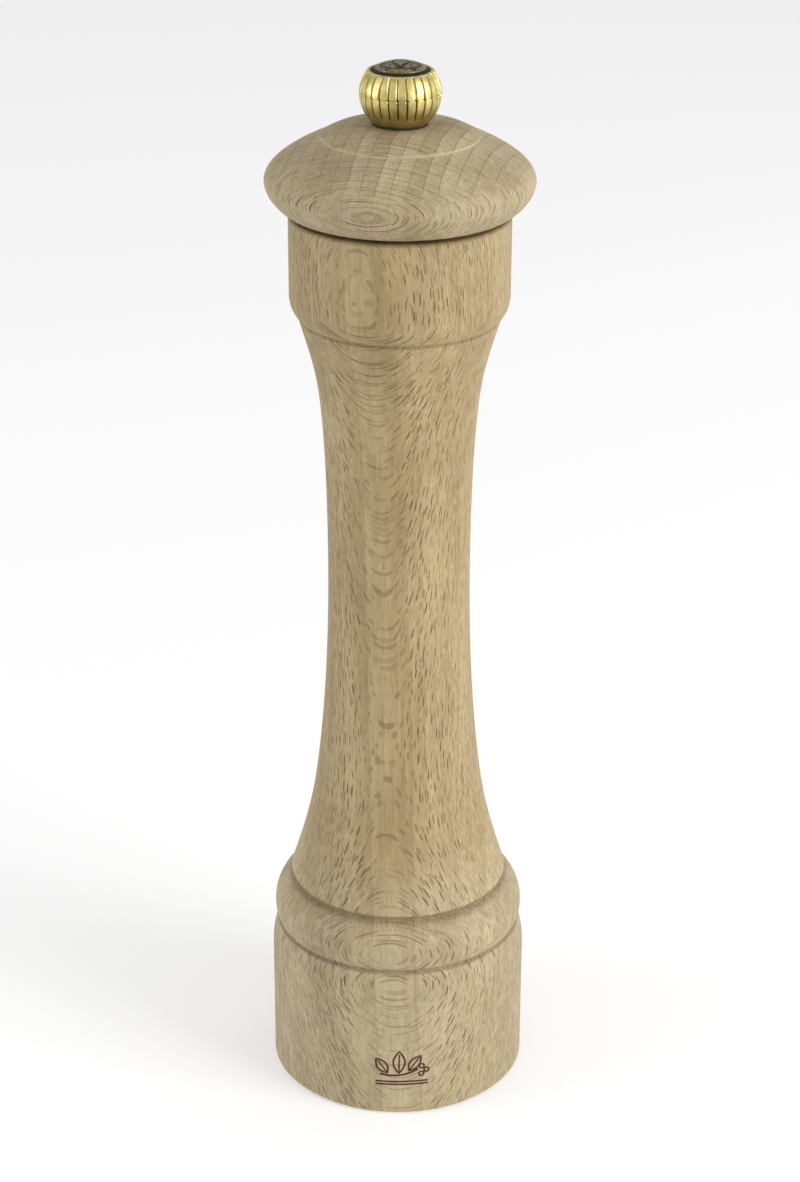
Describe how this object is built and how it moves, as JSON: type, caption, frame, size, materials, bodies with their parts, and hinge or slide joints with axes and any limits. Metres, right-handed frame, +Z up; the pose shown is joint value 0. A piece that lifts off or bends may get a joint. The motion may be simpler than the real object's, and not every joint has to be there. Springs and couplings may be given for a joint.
{
  "type": "pepper mill",
  "caption": "Tall turned-wood pepper mill with waisted body, rotating mushroom head, ribbed brass grind knob and steel spiral-tooth mechanism.",
  "frame": {"origin": "centre of the base's flat underside", "axes": "+Z up along the turning axis; -Y is the front"},
  "size_m": [0.0542, 0.0542, 0.2211],
  "materials": {
    "beech_wood": "unvarnished turned beech, fine-sanded",
    "hardened_steel": "case-hardened dark steel",
    "plated_steel": "zinc-plated pressed steel",
    "screw_steel": "zinc-plated wood screw",
    "spring_steel": "drawn spring wire",
    "shaft_aluminium": "drawn square bar",
    "bush_brass": "turned brass",
    "brushed_brass": "pale plated brass, satin",
    "antique_brass": "darkened brass, matt",
    "black_nylon": "black washer",
    "black_enamel": "black moulded ring"
  },
  "bodies": {
    "mill_body": {"body": "beech_wood", "burr_ring": "hardened_steel", "bridge": "plated_steel", "bridge_rivets": "plated_steel", "shaft_bush": "bush_brass", "retaining_plate": "plated_steel", "retaining_screws": "screw_steel"},
    "rotor": {"thrust_washer": "plated_steel", "spring": "spring_steel"},
    "shaft_unit": {"shaft": "shaft_aluminium", "burr_cone": "hardened_steel", "spring_seat": "plated_steel", "burr_washer": "plated_steel", "burr_nut": "plated_steel"},
    "head": {"head_cap": "beech_wood", "drive_plate": "plated_steel", "drive_plate_screws": "screw_steel"},
    "knob_seat": {"knob_washer": "black_nylon"},
    "knob": {"knob_shell": "brushed_brass", "knob_insert": "bush_brass", "knob_ring": "black_enamel", "knob_badge": "antique_brass"}
  },
  "joints": [
    {"name": "head_turn", "type": "hinge", "parent": "mill_body", "child": "rotor", "pos_m": [0, 0, 0.0246], "axis": [0, 0, 1], "continuous": true},
    {"name": "grind_adjust", "type": "slide", "parent": "rotor", "child": "shaft_unit", "axis": [0, 0, 1], "range_m": [0, 0.0016], "deforming": ["spring"]},
    {"name": "head_lift", "type": "slide", "parent": "rotor", "child": "head", "axis": [0, 0, 1], "range_m": [0, 0.05]},
    {"name": "knob_lift", "type": "slide", "parent": "head", "child": "knob_seat", "axis": [0, 0, 1], "range_m": [0, 0.015]},
    {"name": "knob_turn", "type": "hinge", "parent": "knob_seat", "child": "knob", "pos_m": [0, 0, 0.2152], "axis": [0, 0, 1], "range_deg": [-720, 0]}
  ],
  "couplings": [
    {"joint": "knob_turn", "follows": "grind_adjust", "rad_per_m": -7853.9}
  ]
}
